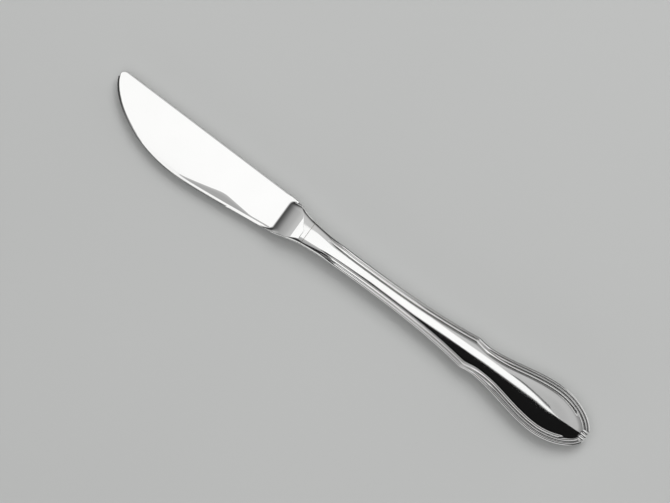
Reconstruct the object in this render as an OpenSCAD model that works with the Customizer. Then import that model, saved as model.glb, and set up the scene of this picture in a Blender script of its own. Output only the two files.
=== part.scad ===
// Table knife: a forged blade with bolster and tang, set into a hollow handle of two stamped half shells.
// Sizes are in millimetres. The knife lies on its side, point toward -X, butt toward +X,
// cutting edge toward -Y, spine toward +Y. Heights across the blade are measured from the handle's axis.

/* [Blade] */
// Length from the point to the foot of the bolster
blade_length = 81.4; // [60:0.1:120]
// Height of the point above the axis
point_height = 6; // [3:0.1:7]
// Length of the rounded corner between spine and point
point_round = 2.4; // [1:0.1:4]
// Height of the spine above the axis at the point
spine_at_point = 8.7; // [7:0.1:10]
// Height of the spine above the axis at the bolster
spine_at_heel = 7.6; // [6:0.1:9]
// Distance from the point to the deepest place of the edge
belly_from_point = 38.8; // [25:0.1:60]
// Depth of the edge below the axis at its deepest place
belly_depth = 12.2; // [10.5:0.1:16]
// Length over which the belly turns into the straight edge
belly_turn = 8; // [4:0.5:16]
// Depth of the edge below the axis at the bolster
heel_depth = 8; // [6:0.1:10]
// Thickness on the axis at the foot of the bolster
heel_thickness = 1.8; // [1.5:0.05:2.6]
// Angle at which each flank closes toward the edge
wedge_angle = 1.9; // [1.2:0.05:2.2]
// Angle at which each flank closes toward the point
taper_angle = 0.35; // [0.1:0.05:0.45]
// Material ground off the forging, both flanks together
grinding_allowance = 0.7; // [0.65:0.05:1.2]
// Thickness of the cutting edge
edge_thickness = 0.2; // [0.1:0.02:0.4]
// Width of the cutting bevel
bevel_width = 0.45; // [0.3:0.05:0.7]
// Angle of the cutting bevel
bevel_angle = 26; // [18:0.5:32]
// Length over which the edge turns blunt toward the heel
blunt_length = 8; // [4:0.5:12]
// Width of the land between the bevel and the hollow
land_width = 1.25; // [0.9:0.05:2]
// Distance from the deepest place of the edge to where the hollow begins
hollow_from_belly = 2.2; // [1:0.1:6]
// Length over which the hollow widens
hollow_rise = 18.3; // [10:0.1:24]
// Length over which the hollow closes again
hollow_fall = 10.2; // [6:0.1:14]
// Width of the hollow at its widest place
hollow_width = 2.9; // [1.5:0.1:3.5]
// Angle of the hollow against the flank at its lower border
hollow_angle = 9; // [5:0.5:11]

/* [Bolster and tang] */
// Length from the foot of the bolster to the joint with the handle
bolster_length = 12; // [9:0.1:18]
// Length of the rounded front of the bolster
bolster_front = 10.6; // [7:0.1:11]
// Fullness of the rounded front, 1 is a straight slope
front_fullness = 2.2; // [1.5:0.1:3]
// How far the bolster lies below the spine at its foot
boss_inset = 1; // [0.4:0.1:2]
// Length over which the bolster rises to the line of the spine
boss_run = 6.5; // [4:0.5:8]
// Length of the tang inside the handle
tang_length = 55; // [35:1:70]
// Width of the tang at the bolster
tang_width = 5.4; // [4:0.1:6]
// Width of the tang at its end
tang_end_width = 3.4; // [2:0.1:4]
// Thickness of the tang at the bolster
tang_thickness = 3.2; // [2:0.1:3.6]
// Thickness of the tang at its end
tang_end_thickness = 2; // [1.5:0.1:2.4]

/* [Handle] */
// Length from the joint to the butt
handle_length = 126.6; // [110:0.1:150]
// Width at the joint
neck_width = 10.4; // [9:0.1:12]
// Thickness at the joint
neck_thickness = 7.3; // [6.5:0.1:9]
// How fast each side of the neck narrows
neck_taper = 0.115; // [0.05:0.005:0.2]
// How fast each face of the neck thins, 0 leaves bolster and neck level
neck_thinning = 0; // [0:0.005:0.06]
// Distance from the joint to the slimmest place of the stem
stem_from_joint = 29.4; // [20:0.1:40]
// Width of the stem
stem_width = 8; // [7:0.1:10]
// Thickness of the stem
stem_thickness = 6.3; // [5.6:0.1:8]
// Distance from the joint to the pointed shoulder
shoulder_from_joint = 73.9; // [65:0.1:82]
// Width across the shoulder
shoulder_width = 13.2; // [11:0.1:15]
// How fast each side widens into the shoulder
shoulder_flare = 0.145; // [0.1:0.005:0.2]
// How fast each side falls away behind the shoulder
shoulder_fall = 0.16; // [0.08:0.01:0.25]
// Length from the shoulder to the waist behind it
shoulder_to_waist = 6; // [4:0.1:9]
// Width at the waist
waist_width = 12.1; // [10:0.1:13]
// How fast each side widens out of the waist
waist_flare = 0.06; // [0:0.01:0.12]
// Length of the rounded end, from the widest place to the butt
butt_length = 18.2; // [14:0.1:22]
// Width at the widest place
butt_width = 20.5; // [17:0.1:24]
// Thickness at the widest place
butt_thickness = 8.7; // [7.5:0.1:11]
// Roundness of the end seen from above, 2 is an ellipse
butt_roundness = 1.87; // [1.6:0.01:2.4]
// Squareness of the section at the joint, 2 is an ellipse
neck_squareness = 5; // [2.5:0.1:6]
// Length over which the neck loses its squareness
neck_turn = 18; // [10:0.5:25]
// Squareness of the section of the stem, 2 is an ellipse
stem_squareness = 3.4; // [2:0.1:4]
// Squareness of the section of the body, 2 is an ellipse
body_squareness = 2.5; // [2:0.1:3]

/* [Thread border] */
// Width of the outer thread
outer_thread = 1.2; // [0.8:0.05:1.4]
// Width of the middle thread at the butt
middle_thread = 1.3; // [0.8:0.05:1.5]
// Width of the inner thread
inner_thread = 1.15; // [0.8:0.05:1.3]
// Width of the groove between the outer and the inner thread on the stem
groove_floor = 0.15; // [0.1:0.05:0.4]
// Depth of a groove below the crest of the thread outside it
groove_depth = 0.26; // [0.1:0.02:0.32]
// Length past the shoulder over which the middle thread grows to its full width
middle_growth = 16; // [8:0.5:24]
// Width of the slope from the inner groove up to the panel
lip_width = 0.7; // [0.4:0.05:1]
// Distance from the joint to where the threads begin
threads_begin = 7; // [2:0.5:12]
// Length over which the threads rise to their full depth
threads_fade = 8; // [5:0.5:16]
// Angle around the butt at which the inner thread ends
inner_thread_end = 40; // [30:1:60]
// Length of the fluted ornament at the butt
flute_length = 3.6; // [2.5:0.1:5]
// Distance between neighbouring flutes
flute_pitch = 1.45; // [1:0.05:2]
// Depth of the flutes
flute_depth = 0.45; // [0.1:0.05:0.5]

/* [Joining] */
// Sheet thickness of the half shells
shell_wall = 0.9; // [0.6:0.05:1.2]
// Thickness of the braze between the half shells
seam_braze = 0.12; // [0.06:0.02:0.3]
// Thickness of the braze between bolster and handle
neck_braze = 0.2; // [0.1:0.02:0.4]
// Length of cement beyond the end of the tang
cement_cover = 7; // [3:0.5:15]

/* [Hidden] */
foot_x = -bolster_length;
point_x = foot_x - blade_length;
belly_x = point_x + belly_from_point;
hollow_x = belly_x + hollow_from_belly;
hollow_fit = min(1, (foot_x - 5 - hollow_x) / (hollow_rise + hollow_fall));
hollow_middle_x = hollow_x + hollow_rise * hollow_fit;
hollow_end_x = hollow_middle_x + hollow_fall * hollow_fit;
stem_x = stem_from_joint;
shoulder_x = shoulder_from_joint;
waist_x = shoulder_x + shoulder_to_waist;
butt_x = handle_length - butt_length;
reach_up = max(spine_at_point, butt_width / 2);
reach_down = max(belly_depth, butt_width / 2);
// The knife's own frame has its axis on X and the joint at 0
// The part's origin is under the middle of its box
part_origin = [(handle_length + point_x) / 2, (reach_up - reach_down) / 2, -butt_thickness / 2];

// A cubic from [x0, y0] with slope s0 to [x1, y1] with slope s1
function cubic(x0, y0, s0, x1, y1, s1, x) =
    let (run = x1 - x0, t = (x - x0) / run)
    let (ends = y0 * (1 + 2 * t) * (1 - t) ^ 2 + y1 * t ^ 2 * (3 - 2 * t))
    ends + run * t * (1 - t) * (s0 * (1 - t) - s1 * t);
// Rises smoothly from 0 at a to 1 at b
function ease(a, b, x) =
    let (t = min(1, max(0, (x - a) / (b - a))))
    t * t * (3 - 2 * t);
// Height of a superellipse of unit size at the distance v from its middle
function rounded(v, n) = (1 - min(1, abs(v)) ^ n) ^ (1 / n);
function blend(a, b, t) = a + (b - a) * t;

// Handle seen from above: neck, stem, shoulder, waist and butt
function half_width(x) =
    let (neck = neck_width / 2, stem = stem_width / 2)
    let (shoulder = shoulder_width / 2, waist = waist_width / 2)
    x < stem_x ? cubic(0, neck, -neck_taper, stem_x, stem, 0, x)
    : x < shoulder_x ? cubic(stem_x, stem, 0, shoulder_x, shoulder, shoulder_flare, x)
    : x < waist_x ? cubic(shoulder_x, shoulder, -shoulder_fall, waist_x, waist, waist_flare, x)
    : cubic(waist_x, waist, waist_flare, butt_x, butt_width / 2, 0, x);

// Height of a half shell's crown above the seam
function crown(x) =
    let (neck = (neck_thickness - seam_braze) / 2)
    let (stem = (stem_thickness - seam_braze) / 2)
    let (butt = (butt_thickness - seam_braze) / 2)
    x < 0 ? neck - neck_thinning * x
    : x < stem_x ? cubic(0, neck, -neck_thinning, stem_x, stem, 0, x)
    : x < butt_x ? cubic(stem_x, stem, 0, butt_x, butt, 0, x)
    : butt;
// Squareness falls from the neck over the stem to the body
function squareness(x) =
    let (at_stem = blend(neck_squareness, stem_squareness, ease(0, neck_turn, x)))
    blend(at_stem, body_squareness, ease(stem_x, shoulder_x, x));

// Place within the outline: 0 on the axis, 1 on the outline
function spread(x, y) =
    let (past = max(0, x - butt_x) / butt_length, across = abs(y) * 2 / butt_width, n = butt_roundness)
    x <= butt_x ? abs(y) / half_width(x) : (past ^ n + across ^ n) ^ (1 / n);
function body(p) = crown(p.x) * rounded(spread(p.x, p.y), squareness(p.x));

// Ribs run from the axis to the outline; around the butt they fan out square to it
// Each rib is its start on the axis, its end on the outline and its angle in the fan
function cross_rib(x) = [[x, 0], [x, half_width(x)], 0];
function fan_rib(a) =
    let (half = butt_width / 2)
    let (focus = max(0, butt_length - half ^ 2 / butt_length))
    let (out = [sin(a) ^ (2 / butt_roundness), cos(a) ^ (2 / butt_roundness)])
    [[butt_x + focus * sin(a), 0], [butt_x + butt_length * out.x, a < 90 ? half * out.y : 0], a];
ribs = concat(
    [for (i = [0 : 9]) cross_rib(stem_x * i / 10)],
    [for (i = [0 : 11]) cross_rib(blend(stem_x, shoulder_x, i / 12))],
    [for (i = [0 : 2]) cross_rib(blend(shoulder_x, waist_x, i / 3))],
    [for (i = [0 : 8]) cross_rib(blend(waist_x, butt_x, i / 9))],
    [for (i = [0 : 14]) fan_rib(90 * sin(90 * i / 14))]
);
last_rib = len(ribs) - 1;

// Place on a rib at the distance d inward from the outline, and height of the smooth body there
function rib_place(rib, d) =
    let (p = rib[1] - (rib[1] - rib[0]) / norm(rib[1] - rib[0]) * d)
    [p.x, max(0, p.y)];
function base(rib, d) = body(rib_place(rib, d));

// Fluted ornament that clasps the threads at the butt
function flute_zone(p) =
    ease(handle_length - flute_length, handle_length - flute_length + 1, p.x)
    * (1 - ease(1.5 * flute_pitch, 2 * flute_pitch, abs(p.y)));

// A thread is a round bead between two grooves: distance inward and height at the angle a across it
function bead(start, end, low, crest, high, a) =
    [blend(start, end, (1 + sin(a)) / 2), crest - (crest - (a < 0 ? low : high)) * (1 - cos(a))];
// Height of the body where it rises out of a groove
function lip(rib, d, start, low) =
    let (left = max(0, 1 - (d - start) / lip_width))
    base(rib, d) - (base(rib, start) - low) * min(1, left) ^ 2;
// Outer face along a rib, from the outline to the axis: distance inward and height
// Outer and inner thread run all along; the middle one grows between them from the shoulder on
function border(rib) =
    let (run = norm(rib[1] - rib[0]))
    let (growth = ease(shoulder_x - 1, shoulder_x + middle_growth, rib[1].x))
    let (g1 = outer_thread, g2 = g1 + blend(groove_floor, middle_thread, growth), g3 = g2 + inner_thread)
    let (crest1 = base(rib, g1 / 2), low1 = crest1 - groove_depth)
    let (crest2 = blend(low1, base(rib, (g1 + g2) / 2), growth))
    let (low2 = blend(low1, crest2 - groove_depth, growth))
    let (crest3 = base(rib, (g2 + g3) / 2), low3 = crest3 - groove_depth)
    let (panel = g3 + min(lip_width, 0.45 * (run - g3)))
    let (ended = ease(inner_thread_end - 4, inner_thread_end + 4, rib[2]))
    let (inner = concat(
        [for (a = [-45, 0, 45, 90]) bead(g2, g3, low2, crest3, low3, a)],
        [for (t = [0, 0.5, 1]) [blend(panel, run, t), base(rib, blend(panel, run, t))]]
    ))
    concat(
        [for (a = [-90, -60, -30, 0, 45, 90]) bead(0, g1, 0, crest1, low1, a)],
        [for (a = [-45, 0, 45, 90]) bead(g1, g2, low1, crest2, low2, a)],
        [for (q = inner) [q[0], blend(q[1], lip(rib, q[0], g2, low2), ended)]]
    );
columns = 16;
// Points of the outer face along a rib
function outer_side(rib) =
    let (strength = ease(threads_begin, threads_begin + threads_fade, rib[1].x), rows = border(rib))
    [for (q = rows)
        let (p = rib_place(rib, q[0]), clasp = flute_zone(p))
        let (threads = blend(base(rib, q[0]), q[1], strength * (1 - clasp)))
        let (flutes = flute_depth * clasp * (1 - abs(cos(180 * p.y / flute_pitch))))
        [p.x, p.y, seam_braze / 2 + (q[0] > 0 ? max(0, threads - flutes) : 0)]];
// Point of the smooth inner face, one sheet thickness inside
inner_steps = [0, 0.06, 0.2, 0.5, 1];
inner_columns = len(inner_steps) - 1;
function inner_point(rib, j) =
    let (run = norm(rib[1] - rib[0]), part = 1 - inner_steps[j])
    let (full = blend(rib[0], rib[1], part), p = blend(rib[0], rib[1], part * (run - shell_wall) / run))
    let (rise = j == 0 ? 0 : rounded(spread(full.x, full.y), squareness(full.x)))
    [p.x, p.y, seam_braze / 2 + (crown(full.x) - shell_wall) * rise];

// A row of points from the -Y outline over the axis to the +Y outline
function fold(c, k) = min(c, 2 * k - c);
function flip(p, on) = on ? [p.x, -p.y, p.z] : p;
function outer_row(rib) =
    let (side = outer_side(rib))
    [for (c = [0 : 2 * columns]) flip(side[fold(c, columns)], c < columns)];
function inner_row(rib) =
    [for (c = [0 : 2 * inner_columns]) flip(inner_point(rib, fold(c, inner_columns)), c < inner_columns)];
// Number of a point in a grid of rows; both halves of the last row lie on each other at the butt
function grid(i, c, k) = i * (2 * k + 1) + (i < last_rib ? c : fold(c, k));
inner_start = last_rib * (2 * columns + 1) + columns + 1;
function o(i, c) = grid(i, c, columns);
function n(i, c) = inner_start + grid(i, c, inner_columns);

module half_shell() {
    far_o = 2 * columns;
    far_n = 2 * inner_columns;
    step = columns / inner_columns;
    points = concat(
        [for (i = [0 : last_rib - 1]) each outer_row(ribs[i])],
        outer_side(ribs[last_rib]),
        [for (i = [0 : last_rib - 1]) each inner_row(ribs[i])],
        [for (j = [0 : inner_columns]) inner_point(ribs[last_rib], j)]
    );
    outside = [for (i = [0 : last_rib - 1], c = [0 : far_o - 1]) each
        [[o(i, c), o(i, c + 1), o(i + 1, c + 1)], [o(i, c), o(i + 1, c + 1), o(i + 1, c)]]];
    inside = [for (i = [0 : last_rib - 1], c = [0 : far_n - 1]) each
        [[n(i, c), n(i + 1, c + 1), n(i, c + 1)], [n(i, c), n(i + 1, c), n(i + 1, c + 1)]]];
    rim = [for (i = [0 : last_rib - 1]) each
        [[o(i, 0), o(i + 1, 0), n(i + 1, 0)], [o(i, 0), n(i + 1, 0), n(i, 0)],
        [n(i, far_n), n(i + 1, far_n), o(i + 1, far_o)], [n(i, far_n), o(i + 1, far_o), o(i, far_o)]]];
    mouth = [for (c = [0 : far_n - 1]) each concat(
        [for (k = [c * step : (c + 1) * step - 1]) [o(0, k), n(0, c), o(0, k + 1)]],
        [[o(0, (c + 1) * step), n(0, c), n(0, c + 1)]])];
    polyhedron(points, concat(outside, inside, rim, mouth));
}

// Blade seen from the side: the spine, the rounded point, the curved edge and both edges of the bolster
function upper(x) =
    let (corner = (x - point_x) / point_round)
    let (straight = (x - point_x - point_round) / (blade_length - point_round))
    x < point_x + point_round ? blend(point_height, spine_at_point, sqrt(1 - (1 - corner) ^ 2))
    : x < foot_x ? blend(spine_at_point, spine_at_heel, straight)
    : cubic(foot_x, spine_at_heel, 0, 0, neck_width / 2, -neck_taper, x);
edge_slope = (belly_depth - heel_depth) / (norm([foot_x - belly_x, belly_turn]) - belly_turn);
function lower(x) =
    let (reach = (belly_x - x) / belly_from_point)
    x < belly_x ? point_height - (point_height + belly_depth) * (1 - reach ^ 2) ^ (2 / 3)
    : x < foot_x ? edge_slope * (norm([x - belly_x, belly_turn]) - belly_turn) - belly_depth
    : cubic(foot_x, -heel_depth, edge_slope, 0, -neck_width / 2, neck_taper, x);
// Lengthening of a line across the edge when it is measured along Y
function edge_skew(x) =
    let (slope = (lower(x + 0.01) - lower(x - 0.01)) / 0.02)
    x > foot_x ? 1 : sqrt(1 + slope ^ 2);

// Half thickness of the flat flank
function flank(x, y) = heel_thickness / 2 + y * tan(wedge_angle) + (x - foot_x) * tan(taper_angle);
// Width of the hollow that the wheel left between the flank and the land along the edge
function hollow_at(x) =
    let (rising = (x - hollow_x) / (hollow_middle_x - hollow_x))
    let (falling = (hollow_end_x - x) / (hollow_end_x - hollow_middle_x))
    hollow_width * max(0, min(1, rising, falling));
// Half thickness of the forging with its edge already ground; further up it stands proud of the flank
forged = (heel_thickness + grinding_allowance) / 2;
function forged_edge(x, y) =
    let (d = (y - lower(x)) / edge_skew(x), wide = hollow_at(x))
    let (sharp = 1 - ease(foot_x - blunt_length, foot_x - 1, x))
    let (bevel = sharp * tan(bevel_angle) * max(0, bevel_width - d))
    let (top = wide > 0 ? land_width + wide : bevel_width)
    let (into = wide > 0 ? min(1, max(0, top - d) / wide) : 0)
    let (hollow = tan(hollow_angle) / 2 * wide * into ^ 2)
    let (proud = tan(25) * max(0, d - top + 0.05) + 0.03 * (1 - sharp))
    max(edge_thickness / 2, min(forged, flank(x, y) + proud - hollow - bevel));
// Half thickness of the oval bolster, which lies below the spine at its foot
function inset(x) = boss_inset * (1 - ease(foot_x, foot_x + boss_run, x));
function bolster(x, y) =
    let (half = (upper(x) - inset(x) - lower(x)) / 2)
    seam_braze / 2 + crown(x) * rounded((y - lower(x) - half) / half, neck_squareness);
function forging(x, y) =
    x < foot_x ? forged_edge(x, y)
    : max(bolster(x, y), forged_edge(x, y) * (1 - ease(foot_x + 1, -1, x)));

// Sections of the forging from the point to the end of the tang
blade_columns = 14;
function edge_steps(wide) = [
    0,
    bevel_width,
    land_width,
    land_width + 0.35 * wide,
    land_width + 0.7 * wide,
    land_width + wide + 0.1,
    land_width + wide + 0.7
];
function blade_column(x, j) =
    let (tall = upper(x) - lower(x), steps = edge_steps(max(0.6, hollow_at(x))))
    j < len(steps) ? min(steps[j] * edge_skew(x), tall * j / 20)
    : tall * (1 - cos(180 * j / blade_columns)) / 2;
function bolster_column(x, j) =
    let (tall = upper(x) - lower(x), strip = max(inset(x), 0.02 * tall), count = blade_columns - 2)
    j > count ? tall - strip * (blade_columns - j) / 2
    : (tall - strip) * (1 - cos(180 * j / count)) / 2;
function column_y(x, j) =
    lower(x) + blend(blade_column(x, j), bolster_column(x, j), ease(foot_x - 4, foot_x, x));
function section(x) =
    let (ys = [for (j = [0 : blade_columns]) column_y(x, j)])
    let (hs = [for (y = ys) forging(x, min(max(y, lower(x)), upper(x)))])
    concat(
        [for (j = [0 : blade_columns]) [x, ys[j], hs[j]]],
        [for (j = [blade_columns : -1 : 0]) [x, ys[j], -hs[j]]]
    );
function tang_section(x, length_at) =
    let (part = length_at / tang_length)
    let (w = blend(tang_width, tang_end_width, part) / 2)
    let (t = blend(tang_thickness, tang_end_thickness, part) / 2)
    concat(
        [for (j = [0 : blade_columns]) [x, w * (2 * j / blade_columns - 1), t]],
        [for (j = [blade_columns : -1 : 0]) [x, w * (2 * j / blade_columns - 1), -t]]
    );
// Skin over sections that all have the same number of points, upper side first
module loft(sections) {
    count = len(sections[0]);
    top = len(sections) - 1;
    half = count / 2;
    skin = [for (i = [0 : top - 1], j = [0 : count - 1]) each
        let (a = i * count + j, b = i * count + (j + 1) % count)
        [[a, b, b + count], [a, b + count, a + count]]];
    front = [for (j = [0 : half - 2]) each
        [[j, count - 1 - j, count - 2 - j], [j, count - 2 - j, j + 1]]];
    back = [for (f = front) [for (k = [2 : -1 : 0]) f[k] + top * count]];
    polyhedron([for (s = sections) each s], concat(skin, front, back));
}

// Grinding cut: the flat flank and the rounded front of the bolster, one side
module grinding_cut() {
    rise = crown(foot_x + bolster_front) + seam_braze / 2 - heel_thickness / 2;
    clear = neck_thickness;
    profile = concat(
        [[-2 * blade_length, 0]],
        [for (t = [0 : 1 / 12 : 1]) [bolster_front * t, rise * (1 - (1 - t) ^ front_fullness)]],
        [[bolster_front, clear], [-2 * blade_length, clear]]
    );
    translate([foot_x, 0, heel_thickness / 2])
        rotate([wedge_angle, -taper_angle, 0])
            rotate([90, 0, 0])
                linear_extrude(height = 6 * belly_depth, center = true)
                    polygon(profile);
}

// Moves a piece from the knife's own frame to the part's frame
module placed() {
    translate(-part_origin)
        children();
}

// One forging: blade, bolster and tang, both flanks ground flat
module blade() {
    stations = concat(
        [for (i = [0 : 15]) point_x + 0.03 + (belly_from_point - 0.03) * (i / 16) ^ 2],
        [belly_x],
        [for (i = [0 : 6]) blend(hollow_x, hollow_middle_x, i / 7)],
        [for (i = [0 : 3]) blend(hollow_middle_x, hollow_end_x, i / 4)],
        [for (i = [0 : 2]) blend(hollow_end_x, foot_x - 4, i / 3)],
        [for (i = [0 : 3]) foot_x - 4 + i],
        [for (i = [0 : 12]) blend(foot_x, -neck_braze, i / 12)]
    );
    color("Silver")
        placed()
            difference() {
                loft(concat(
                    [for (x = stations) section(x)],
                    [tang_section(-neck_braze, -neck_braze), tang_section(tang_length, tang_length)]
                ));
                grinding_cut();
                mirror([0, 0, 1])
                    grinding_cut();
            }
}

// Stamped upper half of the handle
module handle_front_shell() {
    color("Gainsboro")
        placed()
            half_shell();
}

// Stamped lower half of the handle
module handle_back_shell() {
    color("LightGray")
        placed()
            mirror([0, 0, 1])
                half_shell();
}

// Braze that joins the rims of the two half shells, ground flush
module shell_braze_seam() {
    outer = [for (rib = ribs) rib[1]];
    inner = [for (rib = ribs) inner_point(rib, 0)];
    outline = concat(
        outer,
        [for (i = [last_rib - 1 : -1 : 0]) [outer[i].x, -outer[i].y]],
        [for (i = [0 : last_rib - 1]) [inner[i].x, -inner[i].y]],
        [for (i = [last_rib : -1 : 0]) [inner[i].x, inner[i].y]]
    );
    color("Khaki")
        placed()
            linear_extrude(height = seam_braze, center = true)
                polygon(outline);
}

// Braze between the bolster and the mouth of the handle, the fine line across the neck
module neck_braze_ring() {
    outer = outer_row(ribs[0]);
    inner = inner_row(ribs[0]);
    function both(row) = concat(
        [for (p = row) [p.y, p.z]],
        [for (i = [len(row) - 1 : -1 : 0]) [row[i].y, -row[i].z]]
    );
    color("DarkKhaki")
        placed()
            rotate([90, 0, 90])
                translate([0, 0, -neck_braze])
                    linear_extrude(height = neck_braze)
                        difference() {
                            polygon(both(outer));
                            polygon(both(inner));
                        }
}

// Cement cast around the tang, filling the front of the hollow handle
module tang_cement() {
    filled = [for (rib = ribs) if (rib[1].x <= tang_length + cement_cover) rib];
    function both(row) = concat(row, [for (i = [len(row) - 1 : -1 : 0]) [row[i].x, row[i].y, -row[i].z]]);
    start = -neck_braze;
    mouth = [for (p = both(inner_row(ribs[0]))) [start, p.y, p.z]];
    color("DimGray")
        placed()
            difference() {
                loft(concat([mouth], [for (rib = filled) both(inner_row(rib))]));
                loft([tang_section(2 * start, 2 * start), tang_section(tang_length, tang_length)]);
            }
}

blade();
handle_front_shell();
handle_back_shell();
shell_braze_seam();
neck_braze_ring();
tang_cement();
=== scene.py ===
import math

import bpy
import numpy as np
from mathutils import Matrix, Vector


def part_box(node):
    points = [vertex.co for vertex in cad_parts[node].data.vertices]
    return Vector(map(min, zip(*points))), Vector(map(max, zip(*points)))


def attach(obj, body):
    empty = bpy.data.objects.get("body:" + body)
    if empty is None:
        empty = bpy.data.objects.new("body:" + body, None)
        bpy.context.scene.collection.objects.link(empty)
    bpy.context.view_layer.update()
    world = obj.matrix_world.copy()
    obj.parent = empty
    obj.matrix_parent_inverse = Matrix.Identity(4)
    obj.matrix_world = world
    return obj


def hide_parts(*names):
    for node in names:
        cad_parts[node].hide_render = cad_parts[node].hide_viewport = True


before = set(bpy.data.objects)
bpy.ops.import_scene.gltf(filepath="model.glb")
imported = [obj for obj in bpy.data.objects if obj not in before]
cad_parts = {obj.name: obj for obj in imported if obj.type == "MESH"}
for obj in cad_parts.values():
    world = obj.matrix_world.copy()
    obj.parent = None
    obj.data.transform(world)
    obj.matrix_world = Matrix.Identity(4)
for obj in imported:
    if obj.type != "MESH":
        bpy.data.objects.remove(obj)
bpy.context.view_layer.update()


# Blade, bolster and tang: one drop forging of hardened stainless steel.
# Both flanks are ground flat, the front of the bolster is ground round, and all of it is mirror polished.
# The tang stands in the handle and is held there by cement.
mm = 0.001
blade_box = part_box("blade")
shell_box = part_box("handle_front_shell")
seam_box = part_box("shell_braze_seam")
ring_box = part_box("neck_braze_ring")
# The knife's own frame: millimetres, x along the handle from the joint, y toward the spine, z from the seam
joint = np.array([
    shell_box[0].x,
    (shell_box[0].y + shell_box[1].y) / 2,
    (seam_box[0].z + seam_box[1].z) / 2,
])

# Outline of the blade: heights and depths are measured from the axis
point_start = 0.03            # the first section stands this far behind the point
point_x = (blade_box[0].x - joint[0]) / mm - point_start
point_height = 6.0
point_round = 2.4             # length of the rounded corner between spine and point
spine_at_point = 8.7
spine_at_heel = 7.6
belly_from_point = 38.8       # from the point to the deepest place of the edge
belly_x = point_x + belly_from_point
belly_depth = (joint[1] - blade_box[0].y) / mm
belly_power = 2 / 3           # fullness of the curved edge
belly_turn = 8.0              # length over which the belly turns into the straight edge
heel_depth = 8.0
foot_x = -12.0                # where the bolster begins

# Flanks, edge and hollow
heel_thickness = 1.8
wedge_slope = math.tan(math.radians(1.9))   # of a flank, from the spine down to the edge
taper_slope = math.tan(math.radians(0.35))  # and from the heel to the point
spine_round = 0.25
edge_thickness = 0.2
bevel_width = 0.75            # of the cutting bevel at the point
bevel_left = 0.15             # what is left of it further back
bevel_run = 12.0              # length over which it keeps its width, and then over which it narrows
land_width = 1.25             # between the edge and the hollow
hollow_from_belly = 2.2       # where it begins, behind the belly
hollow_length = 30.7
hollow_rise = 21.0            # length over which it widens
hollow_fall = 15.0            # and over which it narrows again
hollow_width = 3.6
hollow_line = 0.3             # width of the fine line that it begins with
hollow_least = 0.01           # never quite 0, because its width divides
hollow_slope = math.tan(math.radians(9))

# Bolster and tang
neck_width = 10.4
neck_thickness = 7.3
neck_crown = neck_thickness / 2
neck_taper = 0.115
neck_squareness = 5.0         # of the oval section, 2 is an ellipse
bolster_end = (ring_box[0].x - joint[0]) / mm
bolster_front = 10.6          # length of its rounded front
front_power = 2.2             # fullness of the front, 1 is a straight slope
foot_forward = 0.35           # how far the foot of the front stands ahead of foot_x
foot_fillet = 0.35
foot_top = 6.6
foot_corner = 2.0             # rounded corner of the foot by the spine
foot_bottom = -5.6            # below this the foot is drawn out along the edge
foot_flare = 0.53             # how strongly, per millimetre
flare_run = 3.5               # length behind the foot over which this runs out
rim_round = 0.6               # rounding of the lower rim
boss_inset = 1.0              # how far the bolster lies below the spine at its foot
boss_run = 6.5                # length over which it rises to the spine
plate_fade = (foot_x + 1, -1)  # where the blade's own thickness runs out under the bolster
tang_length = (blade_box[1].x - joint[0]) / mm
tang_sections = ((5.4, 3.2), (3.4, 2.0))  # width and thickness at the bolster and at the end
slope_step = 0.01             # distance over which a slope is taken


def ease(a, b, x):
    """Rises smoothly from 0 at a to 1 at b."""
    t = np.clip((x - a) / (b - a), 0, 1)
    return t * t * (3 - 2 * t)


def cubic(x0, y0, s0, x1, y1, s1, x):
    """A curve from (x0, y0) with slope s0 to (x1, y1) with slope s1."""
    run = x1 - x0
    t = (x - x0) / run
    rise = y0 * (1 + 2 * t) * (1 - t) ** 2 + y1 * t ** 2 * (3 - 2 * t)
    return rise + run * t * (1 - t) * (s0 * (1 - t) - s1 * t)


def rounded(v, n):
    """Height of a superellipse of unit size at the distance v from its middle."""
    return (1 - np.minimum(1, np.abs(v)) ** n) ** (1 / n)


def blend(a, b, t):
    """The value at the share t of the way from a to b."""
    return a + (b - a) * t


def spine(x):
    """Upper outline of blade and bolster."""
    corner = np.sqrt(1 - (1 - np.clip((x - point_x) / point_round, 0, 1)) ** 2)
    straight = np.clip((x - point_x - point_round) / (foot_x - point_x - point_round), 0, 1)
    on_blade = np.where(
        x < point_x + point_round,
        blend(point_height, spine_at_point, corner),
        blend(spine_at_point, spine_at_heel, straight),
    )
    return np.where(x < foot_x, on_blade, cubic(foot_x, spine_at_heel, 0, 0, neck_width / 2, -neck_taper, x))


edge_slope = (belly_depth - heel_depth) / (math.hypot(foot_x - belly_x, belly_turn) - belly_turn)


def edge(x):
    """Lower outline: the curved cutting edge, then the straight one, then the belly of the bolster."""
    reach = np.clip((belly_x - x) / belly_from_point, 0, 1)
    curved = point_height - (point_height + belly_depth) * (1 - reach ** 2) ** belly_power
    straight = edge_slope * (np.hypot(x - belly_x, belly_turn) - belly_turn) - belly_depth
    bolster = cubic(foot_x, -heel_depth, edge_slope, 0, -neck_width / 2, neck_taper, x)
    return np.select([x < belly_x, x < foot_x], [curved, straight], bolster)


def edge_skew(x):
    """Lengthening of a line across the edge when it is measured along y."""
    slope = (edge(x + slope_step) - edge(x - slope_step)) / (2 * slope_step)
    return np.where(x > foot_x, 1, np.sqrt(1 + slope ** 2))


def flank(x, y):
    """Half thickness of the flat flank."""
    return heel_thickness / 2 + y * wedge_slope + (x - foot_x) * taper_slope


def hollow_at(x):
    """Width of the hollow that the wheel left between the flank and the land along the edge."""
    start = belly_x + hollow_from_belly
    rising = np.clip((x - start) / hollow_rise, 0, 1)
    falling = np.clip((start + hollow_length - x) / hollow_fall, 0, 1)
    swell = np.maximum(1 - np.hypot(1 - rising, 1 - falling), 0)
    return hollow_line * rising + (hollow_width - hollow_line) * swell


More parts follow.
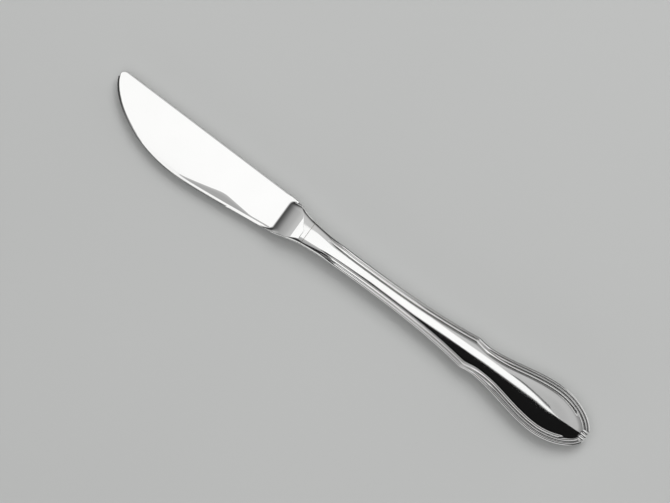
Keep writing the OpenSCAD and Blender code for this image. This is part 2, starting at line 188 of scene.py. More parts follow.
def blade_half(x, y):
    """Half thickness of the blade: the flat flank, the hollow, the land and the bevelled edge."""
    from_edge = (y - edge(x)) / edge_skew(x)
    wide = np.maximum(hollow_at(x), hollow_least)
    into = np.clip((land_width + wide - from_edge) / wide, 0, 1)
    hollow = hollow_slope / 2 * wide * into ** 2
    reach = blend(bevel_width, bevel_left, ease(point_x + bevel_run, point_x + 2 * bevel_run, x))
    at_edge = np.maximum(flank(x, edge(x)) - hollow_slope / 2 * wide - edge_thickness / 2, 0)
    bevel = at_edge * np.maximum(1 - from_edge / reach, 0)
    return np.maximum(flank(x, y) - hollow - bevel, edge_thickness / 2)


def boss(x, y):
    """Half thickness of the oval bolster, which lies inside the spine at its foot."""
    top = spine(x) - boss_inset * (1 - ease(foot_x, foot_x + boss_run, x))
    half = (top - edge(x)) / 2
    return neck_crown * rounded((y - edge(x) - half) / half, neck_squareness)


def behind_foot(x, y):
    """Distance behind the bolster's foot, which turns back at the spine and is drawn out along the edge."""
    up = np.clip((y - foot_top + foot_corner) / foot_corner, 0, 1)
    foot_line = foot_x - foot_forward + foot_corner * (1 - np.sqrt(1 - up ** 2))
    drawn = foot_flare * np.maximum(foot_bottom - y, 0) ** 2
    behind = x - foot_line
    return behind + drawn * (1 - ease(-drawn, flare_run, behind))


front_rise = neck_crown - flank(foot_x + bolster_front, 0)


def front_profile(behind):
    """Rise of the rounded front above the flank at a distance behind its foot."""
    return front_rise * (1 - (1 - np.clip(behind / bolster_front, 0, 1)) ** front_power)


def front(x, y):
    """Limit of the bolster's rise above the flank: a fillet, the rounded front, and behind it no limit."""
    behind = behind_foot(x, y)
    end_rise = front_profile(foot_fillet + slope_step) - front_profile(foot_fillet - slope_step)
    end_slope = end_rise / (2 * slope_step)
    fillet = cubic(-foot_fillet, 0, 0, foot_fillet, front_profile(foot_fillet), end_slope, behind)
    return np.select(
        [behind < -foot_fillet, behind < foot_fillet, behind < bolster_front],
        [0, fillet, front_profile(behind)],
        neck_thickness,
    )


def steel_half(x, y):
    """Half thickness of the finished forging."""
    plate = blade_half(x, y)
    climb = front(x, y) * np.sqrt(1 - (1 - np.clip((y - edge(x)) / rim_round, 0, 1)) ** 2)
    on_bolster = np.maximum(boss(x, y), plate * (1 - ease(*plate_fade, x)))
    return np.where(x < foot_x, plate + climb, np.minimum(on_bolster, flank(x, y) + climb))


# Sections across the blade: fine columns along the edge and the rounded spine, wide ones on the flat flank
near_edge = np.concatenate([
    np.linspace(0, bevel_width, 5),
    np.linspace(bevel_width, land_width, 5)[1:],
    land_width + np.linspace(0, 0.75 * hollow_width + hollow_line, 16)[1:],
])
near_spine = spine_round * np.array([2.5, 1, 0.7, 0.42, 0.2, 0.06, 0])
flank_columns = 66
columns = len(near_edge) + flank_columns + len(near_spine)
# Near the point, where the blade is low, the fine columns take at most these shares of its height
edge_share = 0.5
spine_share = 0.4
# Over this length before the foot the columns take up the even spacing of the bolster
column_run = 4.0


def section_y(x):
    """Places of the columns of the section at x."""
    tall = float(spine(x) - edge(x))
    low_limit = tall * edge_share * np.arange(len(near_edge)) / len(near_edge)
    low = np.minimum(near_edge * float(edge_skew(x)), low_limit)
    high = tall - np.minimum(near_spine, tall * spine_share * near_spine / near_spine[0])
    between = np.linspace(low[-1], high[0], flank_columns + 2)[1:-1]
    on_blade = np.concatenate([low, between, high])
    on_bolster = tall * (1 - np.cos(math.pi * np.arange(columns) / (columns - 1))) / 2
    return float(edge(x)) + blend(on_blade, on_bolster, float(ease(foot_x - column_run, foot_x, x)))


def closed_section(x, y, half):
    """Points of a section at x: its upper half from edge to spine, and its lower half back again."""
    upper = np.stack([np.full(columns, x), y, np.broadcast_to(half, columns)], axis=1)
    return np.concatenate([upper, upper[::-1] * (1, 1, -1)])


def blade_section(x):
    """The section at x, with its spine rounded on the blade."""
    y = section_y(x)
    to_spine = np.clip((float(spine(x)) - y) / spine_round, 0, 1)
    on_blade = 1 - float(ease(foot_x, foot_x + boss_run, x))
    half = steel_half(x, y) - on_blade * spine_round * (1 - np.sqrt(1 - (1 - to_spine) ** 2))
    return closed_section(x, y, np.maximum(half, edge_thickness / 2))


def tang_section(x, width, thickness):
    """A rectangular section of the tang."""
    return closed_section(x, np.linspace(-width / 2, width / 2, columns), thickness / 2)


# Sections stand closest at the point and about the foot of the bolster
foot_start = foot_x - 3.5
foot_end = foot_x + 3
station_spans = ((belly_x, foot_start, 90), (foot_start, foot_end, 110), (foot_end, bolster_end, 100))
stations = np.concatenate([
    point_x + point_start + (belly_from_point - point_start) * np.linspace(0, 1, 150)[:-1] ** 2,
    *[np.linspace(*span)[:-1] for span in station_spans],
    [bolster_end],
])
sections = [blade_section(x) for x in stations]
sections.append(tang_section(bolster_end, *tang_sections[0]))
sections.append(tang_section(tang_length, *tang_sections[1]))


def loft_faces(rows, around):
    """Quads over closed sections of as many points, and both end faces."""
    faces = []
    for i in range(rows - 1):
        for j in range(around):
            a = i * around + j
            b = i * around + (j + 1) % around
            faces.append((a, a + around, b + around, b))
    last = (rows - 1) * around
    for j in range(around // 2 - 1):
        cap = (j, j + 1, around - 2 - j, around - 1 - j)
        faces.append(cap)
        faces.append(tuple(last + k for k in reversed(cap)))
    return faces


def mesh_piece(name, points, faces, crease):
    """A smooth shaded piece from points in the knife's own frame, sharp where it turns more than crease."""
    mesh = bpy.data.meshes.new(name)
    mesh.from_pydata((np.asarray(points) * mm + joint).tolist(), [], faces)
    mesh.validate()
    mesh.shade_smooth()
    mesh.set_sharp_from_angle(angle=math.radians(crease))
    piece = bpy.data.objects.new(name, mesh)
    bpy.context.collection.objects.link(piece)
    return piece


blade_crease = 38
blade_faces = loft_faces(len(sections), 2 * columns)
blade = mesh_piece("forged_blade", np.concatenate(sections), blade_faces, blade_crease)
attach(blade, "root")
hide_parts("blade")


def linear(hex_colour):
    """An sRGB hex colour as the linear values that the shader takes."""
    srgb = [int(hex_colour[i:i + 2], 16) / 255 for i in (1, 3, 5)]
    return [c / 12.92 if c <= 0.04045 else ((c + 0.055) / 1.055) ** 2.4 for c in srgb] + [1]


def add_node(tree, kind, settings=None, inputs=None, links=None, stops=()):
    """Adds one node with its settings, inputs, links from other nodes' outputs and colour stops."""
    node = tree.nodes.new(kind)
    for key, value in (settings or {}).items():
        setattr(node, key, value)
    for key, value in (inputs or {}).items():
        node.inputs[key].default_value = value
    for key, (source, output) in (links or {}).items():
        tree.links.new(source.outputs[output], node.inputs[key])
    if stops:
        ramp = node.color_ramp.elements
        for end, (position, colour) in zip((ramp[0], ramp[1]), (stops[0], stops[-1])):
            end.position = position
            end.color = linear(colour)
        for position, colour in stops[1:-1]:
            ramp.new(position).color = linear(colour)
    return node


def new_material(name):
    """An empty node material, its tree and its output node."""
    material = bpy.data.materials.new(name)
    material.use_nodes = True
    material.node_tree.nodes.clear()
    return material, material.node_tree, material.node_tree.nodes.new("ShaderNodeOutputMaterial")


# Mirror polished stainless steel: clear reflections, with a faint haze and polishing lines along the blade.
# The lines are really about 0.02 mm apart; they are drawn 0.3 mm apart so that they show.
steel_line = 0.3 * mm
steel_line_stretch = 50
steel_line_depth = 0.02 * mm
steel_cloud = 14 * mm
polished_steel, tree, output = new_material("mirror_polished_stainless_steel")
place = add_node(tree, "ShaderNodeTexCoord")
along = add_node(tree, "ShaderNodeMapping",
                 inputs={"Scale": (1 / steel_line_stretch, 1, 1)},
                 links={"Vector": (place, "Object")})
lines = add_node(tree, "ShaderNodeTexNoise",
                 inputs={"Scale": 1 / steel_line, "Detail": 2},
                 links={"Vector": (along, "Vector")})
cloud = add_node(tree, "ShaderNodeTexNoise",
                 inputs={"Scale": 1 / steel_cloud, "Detail": 3},
                 links={"Vector": (place, "Object")})
haze = add_node(tree, "ShaderNodeMapRange",
                inputs={"To Min": 0.03, "To Max": 0.07},
                links={"Value": (cloud, "Fac")})
tint = add_node(tree, "ShaderNodeValToRGB",
                links={"Fac": (cloud, "Fac")},
                stops=((0, "#EAEAE9"), (1, "#F1F1F0")))
bump = add_node(tree, "ShaderNodeBump",
                inputs={"Strength": 0.02, "Distance": steel_line_depth},
                links={"Height": (lines, "Fac")})
shader = add_node(tree, "ShaderNodeBsdfPrincipled",
                  inputs={"Metallic": 1.0},
                  links={
                      "Base Color": (tint, "Color"),
                      "Roughness": (haze, "Result"),
                      "Normal": (bump, "Normal"),
                  })
tree.links.new(shader.outputs["BSDF"], output.inputs["Surface"])
blade.data.materials.append(polished_steel)


# Handle: two half shells stamped from thin stainless sheet, alike but for being mirrored.
# Two threads run along each side, a third grows between them from the shoulder on, and flutes clasp them.
# The shells are brazed rim to rim, ground flush there and mirror polished.
seam_thickness = (seam_box[1].z - seam_box[0].z) / mm
handle_length = (shell_box[1].x - joint[0]) / mm
shell_wall = 0.9              # thickness of the sheet

# Outline: stem, shoulder, waist and rounded butt, with the slopes of its sides
stem_x = 29.4
stem_width = 8.0
shoulder_x = 73.9
shoulder_width = 13.2
shoulder_flare = 0.145
shoulder_fall = 0.16
waist_x = shoulder_x + 6.0
waist_width = 12.1
waist_flare = 0.06
butt_width = (shell_box[1].y - shell_box[0].y) / mm
butt_length = 18.2
butt_roundness = 1.87         # of the rounded end, 2 is an ellipse
butt_x = handle_length - butt_length

# Section: thicknesses of both shells together, and squareness as on the bolster
stem_thickness = 6.3
butt_thickness = 2 * (shell_box[1].z - joint[2]) / mm
stem_squareness = 3.4
body_squareness = 2.5
neck_turn = 18.0              # length over which the neck's squareness goes over into the stem's
neck_fall = 48.0              # length over which its thickness does
panel_straightness = 0.6      # the panel's slope at the shoulder, as a share of the mean slope behind it
outline_pull = 4              # the higher, the nearer to the rim the section still follows the panel

# Threads
outer_thread = 1.05
middle_thread = 1.1
inner_thread = 1.0
threads_begin = 7.0           # behind the joint
threads_fade = 8.0            # length over which they rise to their full height
middle_before = 1.0           # the middle thread begins this far before the shoulder
middle_after = 16.0           # and has its full width this far behind it
inner_thread_end = math.radians(40)  # on the fan of ribs around the butt
inner_thread_fade = math.radians(4)
groove_floor = 0.15           # width of the groove that the middle thread grows from
groove_depth = 0.26
land_power = 10               # flatness of a thread's land
land_lean = math.tan(math.radians(0.5))
land_round = 0.02             # share of a round bead in the profile of the outer and the inner thread
middle_round = 0.2            # and of the middle one
shoulder_slope = math.tan(math.radians(40))  # of the outer thread toward the outline
shoulder_start = 0.5          # shares of the thread's half width: the slope is reached, and it ends
shoulder_end = 0.85
lip_width = 0.5               # where the panel rises out of the inner groove
lip_share = 0.45              # of the panel's half width, at most

# Flutes at the butt
flute_length = 3.6            # from the end of the butt
flute_rise = 1.0              # length over which they begin
flute_pitch = 1.45
flute_depth = 0.45
clasp_start = 1.3 * flute_pitch  # between these distances from the axis the outermost flute runs out
clasp_end = 1.6 * flute_pitch


def half_width(x):
    """Half the handle's width: neck, stem, shoulder, waist and butt."""
    return np.select(
        [x < stem_x, x < shoulder_x, x < waist_x],
        [
            cubic(0, neck_width / 2, -neck_taper, stem_x, stem_width / 2, 0, x),
            cubic(stem_x, stem_width / 2, 0, shoulder_x, shoulder_width / 2, shoulder_flare, x),
            cubic(shoulder_x, shoulder_width / 2, -shoulder_fall, waist_x, waist_width / 2, waist_flare, x),
        ],
        cubic(waist_x, waist_width / 2, waist_flare, butt_x, butt_width / 2, 0, np.minimum(x, butt_x)),
    )


def crown(x):
    """Height of a half shell's crown above its rim."""
    neck = (neck_thickness - seam_thickness) / 2
    stem = (stem_thickness - seam_thickness) / 2
    butt = (butt_thickness - seam_thickness) / 2
    to_butt = (butt - stem) * ease(stem_x, butt_x, x)
    return stem + to_butt + (neck - stem) * (1 - ease(0, neck_fall, x))


def squareness(x):
    """Squareness of the section: the neck is the most square, the butt the least."""
    at_stem = blend(neck_squareness, stem_squareness, ease(0, neck_turn, x))
    return blend(at_stem, body_squareness, ease(stem_x, shoulder_x, x))


def panel_half(x):
    """Half the width that the panel follows: it runs on past the shoulder without a corner."""
    middle = (shoulder_width + waist_width) / 4
    slope = (butt_width / 2 - middle) / (butt_x - waist_x) * panel_straightness
    behind_stem = np.where(
        x < shoulder_x,
        cubic(stem_x, stem_width / 2, 0, shoulder_x, middle, slope, np.clip(x, stem_x, shoulder_x)),
        cubic(shoulder_x, middle, slope, butt_x, butt_width / 2, 0, np.clip(x, shoulder_x, butt_x)),
    )
    return np.where(x < stem_x, half_width(x), behind_stem)


def spread(x, y):
    """Place within the outline: 0 on the axis, 1 on the outline."""
    past = np.maximum(x - butt_x, 0) / butt_length
    across = np.abs(y) * 2 / butt_width
    round_end = (past ** butt_roundness + across ** butt_roundness) ** (1 / butt_roundness)
    to_outline = np.minimum(np.abs(y) / half_width(x), 1) ** outline_pull
    half = blend(panel_half(x), half_width(x), to_outline)
    return np.where(x <= butt_x, np.abs(y) / half, round_end)


def body(x, y):
    """Height of the smooth body above the rim."""
    return crown(x) * rounded(spread(x, y), squareness(x))


# Ribs run from the axis to the outline; around the butt they fan out square to it
rib_spans = ((0, stem_x, 80), (stem_x, shoulder_x, 110), (shoulder_x, waist_x, 26), (waist_x, butt_x, 80))
rib_x = np.concatenate([np.linspace(*span)[:-1] for span in rib_spans])
fan = math.pi / 2 * np.sin(np.linspace(0, math.pi / 2, 120))
focus = butt_length - (butt_width / 2) ** 2 / butt_length
fan_power = 2 / butt_roundness
fan_angle = np.concatenate([np.zeros(len(rib_x)), fan])
axis_x = np.concatenate([rib_x, butt_x + focus * np.sin(fan)])
rim_x = np.concatenate([rib_x, butt_x + butt_length * np.sin(fan) ** fan_power])
rim_y = np.concatenate([half_width(rib_x), butt_width / 2 * np.maximum(np.cos(fan), 0) ** fan_power])
rim_y[-1] = 0
ribs = len(axis_x)
rib_length = np.hypot(rim_x - axis_x, rim_y)
out_x = (rim_x - axis_x) / rib_length
out_y = rim_y / rib_length


def rib_points(inward):
    """Places at the distance inward from the outline, for all ribs."""
    px = rim_x[:, None] - out_x[:, None] * inward
    py = np.maximum(rim_y[:, None] - out_y[:, None] * inward, 0)
    return px, py


def base(inward):
    """Height of the smooth body at the distance inward from the outline, for all ribs."""
    return body(*rib_points(inward))


# The outer and the inner thread run all along; the middle one grows between them from the shoulder on
growth = ease(shoulder_x - middle_before, shoulder_x + middle_after, rim_x)[:, None]
outer_groove = np.full((ribs, 1), outer_thread)
middle_groove = outer_groove + blend(groove_floor, middle_thread, growth)
inner_groove = middle_groove + inner_thread
# Each thread is a bead with a nearly level land on top; a groove lies lower than the land outside it
outer_crest = base(outer_groove / 2)
outer_floor = outer_crest - groove_depth
middle_crest = blend(outer_floor, base((outer_groove + middle_groove) / 2), growth)
middle_floor = blend(outer_floor, middle_crest - groove_depth, growth)
inner_crest = base((middle_groove + inner_groove) / 2)
inner_floor = inner_crest - groove_depth
# Columns over a bead, from -1 at its outer groove to 1 at its inner one
bead_half = np.array([0.25, 0.5, 0.68, 0.8, 0.9, 0.96, 1])
bead_across = np.concatenate([-bead_half[-2::-1], [0], bead_half])[None, :]
outer_half = np.array([0.2, 0.4, 0.55, 0.7, 0.82, 0.91, 0.97, 1])
outer_across = np.concatenate([-outer_half[::-1], [0], outer_half])[None, :]
lip_columns = 6
panel_columns = 22
near_nothing = 1e-6           # keeps the middle groove itself out of what lies inside it


def bead(start, end, low, crest, high, across, roundness):
    """Distance and height of a flat topped bead between two grooves."""
    inward = blend(start, end, (1 + across) / 2)
    drop = np.where(across < 0, crest - low, crest - high)
    profile = blend(across ** land_power, across ** 2, roundness)
    return inward, crest - drop * profile - land_lean * across * (end - start) / 2


def outer_bead():
    """The outer thread: toward the outline it falls over a sloping shoulder and turns down to the seam."""
    start = np.zeros((ribs, 1))
    inward, height = bead(start, outer_groove, start, outer_crest, outer_floor, outer_across, land_round)
    outward = np.clip(-outer_across, 0, shoulder_end)
    curving = outward ** 2 / (2 * shoulder_start)
    fallen = np.where(outward < shoulder_start, curving, outward - shoulder_start / 2)
    turning = np.clip((-outer_across - shoulder_end) / (1 - shoulder_end), 0, 1)
    shoulder = np.maximum(outer_crest - fallen * outer_thread / 2 * shoulder_slope, 0)
    return inward, np.where(outer_across < 0, shoulder * np.sqrt(1 - turning ** 2), height)


def lip(inward, start, floor, width):
    """Height of the body where it rises out of a groove at start."""
    left = np.clip(1 - (inward - start) / width, 0, 1)
    return base(inward) - (base(start) - floor) * left ** 2


def outer_side():
    """Outer face of one side of a shell, from the outline to the axis: points by rib and column."""
    outer = outer_bead()
    middle_heights = (outer_floor, middle_crest, middle_floor)
    middle = bead(outer_groove, middle_groove, *middle_heights, bead_across, middle_round)
    inner_heights = (middle_floor, inner_crest, inner_floor)
    inner = bead(middle_groove, inner_groove, *inner_heights, bead_across, land_round)
    lip_end = np.minimum(lip_width, lip_share * (rib_length[:, None] - inner_groove))
    lip_part = inner_groove + lip_end * np.linspace(0, 1, lip_columns + 1)[None, 1:]
    to_axis = np.linspace(0, 1, panel_columns + 1)[None, 1:]
    panel_part = lip_part[:, -1:] + (rib_length[:, None] - lip_part[:, -1:]) * to_axis
    raised = lip(lip_part, inner_groove, inner_floor, lip_end)
    inward = np.concatenate([outer[0], middle[0], inner[0], lip_part, panel_part], axis=1)
    threads = np.concatenate([outer[1], middle[1], inner[1], raised, base(panel_part)], axis=1)
    # Past its end the inner thread runs out into the panel
    fade_start = inner_thread_end - inner_thread_fade
    fade_end = inner_thread_end + inner_thread_fade
    ended = ease(fade_start, fade_end, fan_angle)[:, None]
    run_out = blend(threads, lip(inward, middle_groove, middle_floor, lip_width), ended)
    threads = np.where(inward > middle_groove + near_nothing, run_out, threads)
    # The flutes clasp the threads at the butt; along the neck the threads fade in
    px, py = rib_points(inward)
    clasp = ease(handle_length - flute_length, handle_length - flute_length + flute_rise, px)
    clasp = clasp * (1 - ease(clasp_start, clasp_end, py))
    strength = ease(threads_begin, threads_begin + threads_fade, rim_x)[:, None] * (1 - clasp)
    height = blend(base(inward), threads, strength)
    height = height - flute_depth * clasp * (1 - np.abs(np.cos(math.pi * py / flute_pitch)))
    # The rim lies on the seam, and the last column on the axis
    px[:, 0] = rim_x
    py[:, 0] = rim_y
    py[:, -1] = 0
    height[:, 0] = 0
    return np.stack([px, py, np.maximum(height, 0) + seam_thickness / 2], axis=2)


inner_columns = 12


def inner_side():
    """Smooth inner face of one side of a shell, one sheet thickness inside."""
    part = 1 - np.linspace(0, 1, inner_columns + 1)[None, :] ** 2
    full_x = blend(axis_x[:, None], rim_x[:, None], part)
    full_y = rim_y[:, None] * part
    rise = rounded(spread(full_x, full_y), squareness(full_x))
    rise[:, 0] = 0
    height = (crown(full_x) - shell_wall) * rise
    part = part * ((rib_length - shell_wall) / rib_length)[:, None]
    px = blend(axis_x[:, None], rim_x[:, None], part)
    return np.stack([px, rim_y[:, None] * part, height + seam_thickness / 2], axis=2)


def both_sides(side):
    """Rows from the -y outline over the axis to the +y outline; the last row is folded on itself."""
    mirrored = side[:, :-1] * (1, -1, 1)
    rows = np.concatenate([mirrored, side[:, ::-1]], axis=1)
    across = rows.shape[1]
    numbers = np.arange(ribs * across).reshape(ribs, across)
    numbers[-1] = [numbers[-1, min(c, across - 1 - c)] for c in range(across)]
    return rows.reshape(-1, 3), numbers


def strip_faces(line, other, turn):
    """Quads between two lines of points, wound one way or the other; folded ones become triangles."""
    faces = []
    for a, b, c, d in zip(line[:-1], line[1:], other[1:], other[:-1]):
        face = list(dict.fromkeys((int(a), int(b), int(c), int(d))))
        if len(face) > 2:
            faces.append(tuple(face[::turn]))
    return faces


outer_points, outer_number = both_sides(outer_side())
inner_points, inner_number = both_sides(inner_side())
inner_number = inner_number + len(outer_points)
shell_faces = []
for i in range(ribs - 1):
    shell_faces += strip_faces(outer_number[i], outer_number[i + 1], -1)
    shell_faces += strip_faces(inner_number[i], inner_number[i + 1], 1)
# The rims along both sides, then the mouth at the neck
shell_faces += strip_faces(outer_number[:, 0], inner_number[:, 0], -1)
shell_faces += strip_faces(outer_number[:, -1], inner_number[:, -1], 1)
outer_mouth = outer_number[0].tolist()
inner_mouth = inner_number[0].tolist()
mouth_step = (len(outer_mouth) // 2) // inner_columns
for c in range(2 * inner_columns):
    for k in range(c * mouth_step, (c + 1) * mouth_step):
        shell_faces.append((outer_mouth[k], outer_mouth[k + 1], inner_mouth[c]))
    shell_faces.append((outer_mouth[(c + 1) * mouth_step], inner_mouth[c + 1], inner_mouth[c]))
shell_points = np.concatenate([outer_points, inner_points])
shell_crease = 75
turned_faces = [face[::-1] for face in shell_faces]
front_shell = mesh_piece("stamped_front_shell", shell_points, shell_faces, shell_crease)
back_shell = mesh_piece("stamped_back_shell", shell_points * (1, 1, -1), turned_faces, shell_crease)
for shell, node in ((front_shell, "handle_front_shell"), (back_shell, "handle_back_shell")):
    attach(shell, "root")
    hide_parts(node)
    shell.data.materials.append(polished_steel)


# Braze: a film of silver solder between the rims of the shells, and a ring of it between bolster and handle.
# It was run in hot between the pieces, then ground and polished flush, so that only fine lines of it show.
def give_material(name, material):
    """Gives a piece of the frame a material through its own slots."""
    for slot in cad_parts[name].material_slots:
        slot.link = "OBJECT"
        slot.material = material


# Silver braze: a warm, slightly duller white than the steel, with small pits about 0.3 mm apart.
braze_pit = 0.3 * mm
braze_pit_depth = 0.03 * mm
silver_braze, tree, output = new_material("silver_braze")
place = add_node(tree, "ShaderNodeTexCoord")
pits = add_node(tree, "ShaderNodeTexNoise",
                inputs={"Scale": 1 / braze_pit, "Detail": 3},
                links={"Vector": (place, "Object")})
haze = add_node(tree, "ShaderNodeMapRange",
                inputs={"To Min": 0.25, "To Max": 0.4},
                links={"Value": (pits, "Fac")})
tint = add_node(tree, "ShaderNodeValToRGB",
                links={"Fac": (pits, "Fac")},
                stops=((0, "#B9B6AF"), (1, "#C8C5BE")))
bump = add_node(tree, "ShaderNodeBump",
                inputs={"Strength": 0.2, "Distance": braze_pit_depth},
                links={"Height": (pits, "Fac")})
shader = add_node(tree, "ShaderNodeBsdfPrincipled",
                  inputs={"Metallic": 1.0},
                  links={
                      "Base Color": (tint, "Color"),
                      "Roughness": (haze, "Result"),
                      "Normal": (bump, "Normal"),
                  })
tree.links.new(shader.outputs["BSDF"], output.inputs["Surface"])
give_material("shell_braze_seam", silver_braze)
give_material("neck_braze_ring", silver_braze)


# Cement: the filling that was poured into the front of the hollow handle around the tang and set there.
# It is made of resin and mineral powder, and nothing of it shows on the finished knife.
cement_grain = 0.5 * mm
cement_grain_depth = 0.1 * mm
# Set cement: a matt grey brown with fine grains.
handle_cement, tree, output = new_material("set_handle_cement")
place = add_node(tree, "ShaderNodeTexCoord")
grains = add_node(tree, "ShaderNodeTexNoise",
                  inputs={"Scale": 1 / cement_grain, "Detail": 4},
                  links={"Vector": (place, "Object")})
tint = add_node(tree, "ShaderNodeValToRGB",
                links={"Fac": (grains, "Fac")},
                stops=((0, "#5F5950"), (1, "#857D72")))
bump = add_node(tree, "ShaderNodeBump",
                inputs={"Strength": 0.5, "Distance": cement_grain_depth},
                links={"Height": (grains, "Fac")})
shader = add_node(tree, "ShaderNodeBsdfPrincipled",
                  inputs={"Roughness": 0.9},
                  links={"Base Color": (tint, "Color"), "Normal": (bump, "Normal")})
tree.links.new(shader.outputs["BSDF"], output.inputs["Surface"])
give_material("tang_cement", handle_cement)


# Table: a plain pale board that the knife lies on, matt and evenly painted.
# It isn't part of the knife.
table_size = 8.0
bpy.ops.mesh.primitive_plane_add(size=table_size)
table = bpy.context.object
table.name = "table_top"
# Matt grey paint: one plain tone, with soft clouds about 150 mm wide that hardly show.
paint_cloud = 150 * mm
table_paint, tree, output = new_material("matt_grey_paint")
place = add_node(tree, "ShaderNodeTexCoord")
cloud = add_node(tree, "ShaderNodeTexNoise",
                 inputs={"Scale": 1 / paint_cloud, "Detail": 2},
                 links={"Vector": (place, "Object")})
tint = add_node(tree, "ShaderNodeValToRGB",
                links={"Fac": (cloud, "Fac")},
                stops=((0, "#BCBDBC"), (1, "#C0C1C0")))
shader = add_node(tree, "ShaderNodeBsdfPrincipled",
                  inputs={"Roughness": 0.9},
                  links={"Base Color": (tint, "Color")})
tree.links.new(shader.outputs["BSDF"], output.inputs["Surface"])
table.data.materials.append(table_paint)


# Camera: looks down on the knife from about 0.7 m with a long lens, leaning a little to the lower right.
# It is turned so that the blade points to the upper left of the picture.
view_turn = math.radians(36.25)
view_lean = Vector((math.tan(math.radians(4.4)), -math.tan(math.radians(3.2))))
view_distance = 0.696
view_centre = Vector((-0.00491, 0.00142, 0.00435))
right = Vector((math.cos(view_turn), math.sin(view_turn), 0))
north = Vector((-math.sin(view_turn), math.cos(view_turn), 0))
to_camera = (right * view_lean.x + north * view_lean.y + Vector((0, 0, 1))).normalized()
picture_up = to_camera.cross(right).normalized()
camera_axes = Matrix((picture_up.cross(to_camera), picture_up, to_camera)).transposed().to_4x4()
camera_data = bpy.data.cameras.new("camera")
camera_data.lens = 101.0
camera_data.sensor_width = 36
camera = bpy.data.objects.new("camera", camera_data)
camera.matrix_world = Matrix.Translation(view_centre + to_camera * view_distance) @ camera_axes
bpy.context.collection.objects.link(camera)
bpy.context.scene.camera = camera
bpy.context.scene.view_settings.view_transform = "Standard"


# Light: broad soft lamps light the table, and the polished knife mirrors the boards, the flag and the room.
# Boards and flag are flat sheets of cloth hung 1 m over the table.
# Their corners are given right and up in the picture, in metres from the knife.
board_height = 1.0
board_glow = 1.14
cloth_cloud = 1 / 6           # width of the soft clouds in the cloth's light
cloth_unevenness = 0.03       # share by which they brighten or darken it


def hang_board(name, tone, strength, corners):
    """A flat sheet that shines softly: it shows in the steel alone and doesn't light or shade the table."""
    mesh = bpy.data.meshes.new(name)
    spots = [right * e + north * n + Vector((0, 0, board_height)) for e, n in corners]
    mesh.from_pydata([tuple(spot) for spot in spots], [], [tuple(reversed(range(len(spots))))])
    board = bpy.data.objects.new(name, mesh)
    bpy.context.collection.objects.link(board)
    board.visible_camera = False
    board.visible_shadow = False
    board.visible_diffuse = False
    sheet, tree, output = new_material(name + "_cloth")
    place = add_node(tree, "ShaderNodeTexCoord")
    cloud = add_node(tree, "ShaderNodeTexNoise",
                     inputs={"Scale": 1 / cloth_cloud},
                     links={"Vector": (place, "Object")})
    dimmest = (1 - cloth_unevenness) * strength
    brightest = (1 + cloth_unevenness) * strength
    level = add_node(tree, "ShaderNodeMapRange",
                     inputs={"To Min": dimmest, "To Max": brightest},
                     links={"Value": (cloud, "Fac")})
    glow = add_node(tree, "ShaderNodeEmission",
                    inputs={"Color": linear(tone)},
                    links={"Strength": (level, "Result")})
    tree.links.new(glow.outputs["Emission"], output.inputs["Surface"])
    mesh.materials.append(sheet)


hang_board("blade_board", "#FFFFFF", board_glow, (
    (-0.39, 0.16), (-0.18, 0.01), (-0.14, 0.08), (-0.35, 0.25),
))
hang_board("handle_board", "#FFFFFF", board_glow, (
    (-0.16, 0.0), (-0.105, -0.045), (-0.03, -0.006), (0.02, -0.01), (0.092, -0.062), (0.112, -0.09),
    (0.235, -0.18), (0.14, -0.092), (0.117, -0.056), (0.126, 0.0), (0.133, 0.11), (0.157, 0.205),
    (0.12, 0.235), (0.05, 0.15), (-0.03, 0.085), (-0.05, 0.115), (-0.13, 0.08),
))
hang_board("grey_strip", "#606060", 1.0, (
    (0.125, -0.062), (0.14, -0.068), (0.143, 0.0), (0.163, 0.11), (0.14, 0.11), (0.128, 0.0),
))
hang_board("black_flag", "#161616", 1.0, (
    (0.80, -0.52), (0.235, -0.184), (0.109, -0.092), (0.09, -0.066), (0.02, -0.014), (-0.03, -0.01),
    (-0.1, -0.05), (-0.62, -0.66), (0.5, -1.4),
))


def add_fill(name, spot, size, radiance):
    """A broad soft lamp aimed at the knife: it lights the table and isn't mirrored."""
    data = bpy.data.lights.new(name, "AREA")
    data.size = size
    data.energy = radiance * math.pi * size ** 2
    lamp = bpy.data.objects.new(name, data)
    lamp.location = right * spot[0] + north * spot[1] + Vector((0, 0, spot[2]))
    lamp.rotation_euler = lamp.location.to_track_quat("Z", "Y").to_euler()
    lamp.visible_glossy = False
    bpy.context.collection.objects.link(lamp)


add_fill("sky_fill", (0, 0, 1.8), 3.0, 0.68)
add_fill("window_fill", (0.7, 0.9, 1.4), 1.0, 4.7)

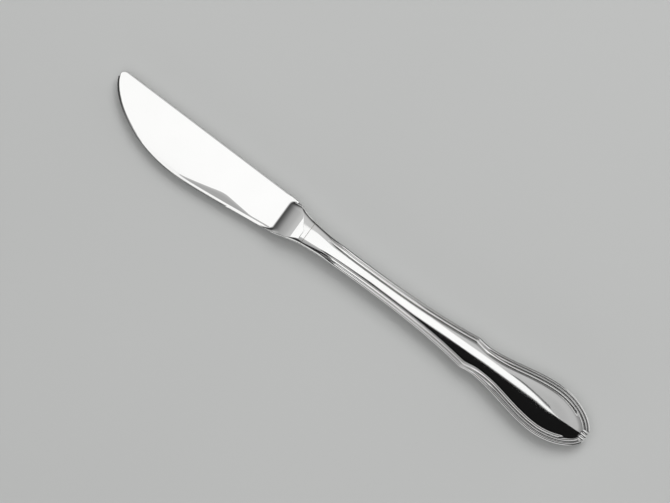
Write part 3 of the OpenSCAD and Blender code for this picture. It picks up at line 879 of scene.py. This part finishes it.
# Room: greys by height, from 0 at the horizon to 1 overhead, that the steel mirrors past the boards
world = bpy.data.worlds.new("studio")
bpy.context.scene.world = world
world.use_nodes = True
tree = world.node_tree
tree.nodes.clear()
output = tree.nodes.new("ShaderNodeOutputWorld")
toward = add_node(tree, "ShaderNodeTexCoord")
height = add_node(tree, "ShaderNodeSeparateXYZ", links={"Vector": (toward, "Generated")})
left_room = (
    (0.0, "#2C2C2C"), (0.36, "#3C3C3C"), (0.45, "#525252"), (0.5, "#626262"), (0.55, "#787878"),
    (0.6, "#929292"), (0.65, "#A6A6A6"), (0.69, "#B2B2B2"), (0.77, "#BEBEBE"), (0.83, "#C4C4C4"),
    (0.9, "#D2D2D2"),
)
right_room = (
    (0.0, "#5A5A5A"), (0.6, "#707070"), (0.75, "#8C8C8C"), (0.84, "#A4A4A4"), (0.89, "#C2C2C2"),
    (0.95, "#C4C4C4"), (0.985, "#BCBCBC"),
)
near_room = ((0.0, "#303030"), (0.6, "#484848"), (0.8, "#707070"), (0.88, "#AEAEAE"), (0.97, "#B2B2B2"))
far_wall = ((0.0, "#484848"), (0.8, "#585858"))
near_wall = ((0.0, "#FFFFFF"), (0.3, "#FFFFFF"), (0.4, "#484848"), (0.8, "#404040"))
right_wall = ((0.0, "#FFFFFF"), (0.6, "#F0F0F0"))
beyond = right * 0.6 + north * 0.8
# Each side of the room: a direction, how far toward it the side begins, how soft its border is, its greys
room_sides = (
    (right * 0.866 - north * 0.5, 0, 0.1, right_room),
    (-beyond, 0.13, 0.12, near_room),
    (beyond, 0.72, 0.08, far_wall),
    (-beyond, 0.72, 0.08, near_wall),
    (right * 0.951 + north * 0.309, 0.84, 0.04, right_wall),
)
left_side = add_node(tree, "ShaderNodeValToRGB", links={"Fac": (height, "Z")}, stops=left_room)
tone = (left_side, "Color")
for direction, start, soft, greys in room_sides:
    lean = add_node(tree, "ShaderNodeVectorMath",
                    settings={"operation": "DOT_PRODUCT"},
                    inputs={1: direction},
                    links={0: (toward, "Generated")})
    mask = add_node(tree, "ShaderNodeMapRange",
                    settings={"interpolation_type": "SMOOTHSTEP"},
                    inputs={"From Min": start - soft, "From Max": start + soft},
                    links={"Value": (lean, "Value")})
    side = add_node(tree, "ShaderNodeValToRGB", links={"Fac": (height, "Z")}, stops=greys)
    mixed = add_node(tree, "ShaderNodeMix",
                     settings={"data_type": "RGBA"},
                     links={0: (mask, "Result"), 6: tone, 7: (side, "Color")})
    tone = (mixed, 2)
light = add_node(tree, "ShaderNodeBackground", links={"Color": tone})
tree.links.new(light.outputs["Background"], output.inputs["Surface"])
